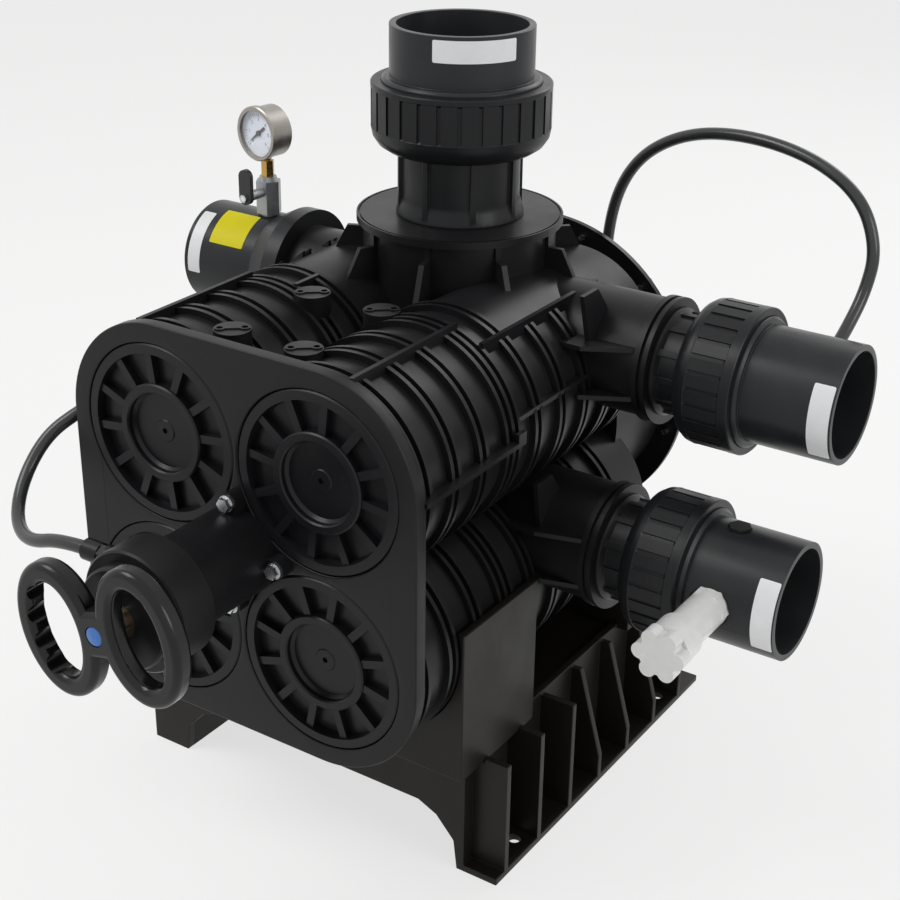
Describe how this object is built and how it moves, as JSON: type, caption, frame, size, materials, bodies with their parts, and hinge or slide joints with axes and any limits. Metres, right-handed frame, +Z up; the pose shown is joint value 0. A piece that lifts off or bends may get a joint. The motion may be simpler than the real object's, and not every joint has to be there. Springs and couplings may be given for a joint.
{
  "type": "push-pull filter valve",
  "caption": "Push-pull backwash valve for a large sand filter: barrels side by side, a pull handle, pipe unions, gauge and sampling tap on a moulded stand.",
  "frame": {"origin": "on the floor, at the centre of the bolt pattern of the stand", "axes": "+Z up, +X to the right of someone who faces the handle, +Y away from them, along the barrels"},
  "size_m": [0.823, 0.8582, 0.8327],
  "materials": {
    "body_plastic": "moulded, fine grain",
    "cover_plastic": "moulded, smooth",
    "fitting_plastic": "moulded, smooth",
    "pipe_plastic": "extruded, smooth",
    "stand_plastic": "moulded, fine grain",
    "handle_plastic": "moulded, polished",
    "spool_plastic": "machined",
    "seal_rubber": "moulded",
    "hose_plastic": "extruded",
    "steel": "plain",
    "chrome": "plated",
    "brass": "machined",
    "lever_plastic": "dipped",
    "white_plastic": "moulded",
    "dial_white": "printed face left plain",
    "gauge_black": "satin",
    "gauge_glass": "clear"
  },
  "bodies": {
    "valve": {"front_plate": "body_plastic", "cover_seals": "seal_rubber", "valve_body": "body_plastic", "rear_cover": "body_plastic", "rear_seal": "seal_rubber", "rear_bolts": "steel", "stand": "stand_plastic", "front_saddle": "stand_plastic", "rear_saddle": "stand_plastic", "operator_cylinder": "body_plastic", "operator_screws": "steel", "operator_collar": "body_plastic", "rod_guide": "brass", "inlet_tail": "pipe_plastic", "lower_port_tail": "pipe_plastic", "gauge_valve_body": "chrome", "gauge_valve_end": "chrome", "gauge_case": "gauge_black", "gauge_stem": "brass", "gauge_dial": "dial_white", "gauge_lens": "gauge_glass", "gauge_ring": "gauge_black", "tap_body": "white_plastic", "tail_plug": "white_plastic", "hose_fittings": "fitting_plastic", "left_hose": "hose_plastic", "right_hose": "hose_plastic", "cover_upper_left": "cover_plastic", "cover_upper_right": "cover_plastic", "cover_lower_left": "cover_plastic", "cover_lower_right": "cover_plastic", "upper_port_end": "fitting_plastic", "upper_port_tail": "pipe_plastic", "upper_port_seal": "seal_rubber", "drain_end": "fitting_plastic", "drain_tail": "pipe_plastic", "drain_seal": "seal_rubber", "outlet_end": "fitting_plastic", "outlet_tail": "pipe_plastic", "outlet_seal": "seal_rubber"},
    "spool_train": {"pull_rod": "steel", "handle": "handle_plastic", "handle_cap": "handle_plastic", "crosshead": "spool_plastic", "crosshead_nuts": "steel", "spool_seals": "seal_rubber", "spool_upper_left": "spool_plastic", "spool_upper_right": "spool_plastic", "spool_lower_left": "spool_plastic", "spool_lower_right": "spool_plastic"},
    "upper_port_nut": {"upper_port_nut": "fitting_plastic"},
    "drain_nut": {"drain_nut": "fitting_plastic"},
    "outlet_nut": {"outlet_nut": "fitting_plastic"},
    "needle": {"gauge_needle": "gauge_black"},
    "gauge_lever": {"gauge_valve_lever": "lever_plastic", "gauge_valve_ball": "chrome", "gauge_valve_nut": "steel"},
    "tap": {"tap_knob": "white_plastic", "tap_spindle": "white_plastic"}
  },
  "joints": [
    {"name": "spool_slide", "type": "slide", "parent": "valve", "child": "spool_train", "axis": [0, -1, 0], "range_m": [0, 0.085]},
    {"name": "upper_port_nut_turn", "type": "hinge", "parent": "valve", "child": "upper_port_nut", "pos_m": [0, 0.04, 0.736], "axis": [0, 0, 1], "continuous": true},
    {"name": "drain_nut_turn", "type": "hinge", "parent": "valve", "child": "drain_nut", "pos_m": [0.333, 0.04, 0.5144], "axis": [1, 0, 0], "continuous": true},
    {"name": "outlet_nut_turn", "type": "hinge", "parent": "valve", "child": "outlet_nut", "pos_m": [0.333, -0.053, 0.3351], "axis": [1, 0, 0], "continuous": true},
    {"name": "gauge_needle_turn", "type": "hinge", "parent": "valve", "child": "needle", "pos_m": [-0.271, 0.04, 0.6751], "axis": [-0.1392, -0.9903, 0], "range_deg": [-263, 7]},
    {"name": "gauge_lever_turn", "type": "hinge", "parent": "valve", "child": "gauge_lever", "pos_m": [-0.271, 0.04, 0.605], "axis": [0, -1, 0], "range_deg": [0, 90]},
    {"name": "tap_turn", "type": "hinge", "parent": "valve", "child": "tap", "pos_m": [0.4, -0.2159, 0.3351], "axis": [0, -1, 0], "range_deg": [0, 360]}
  ]
}
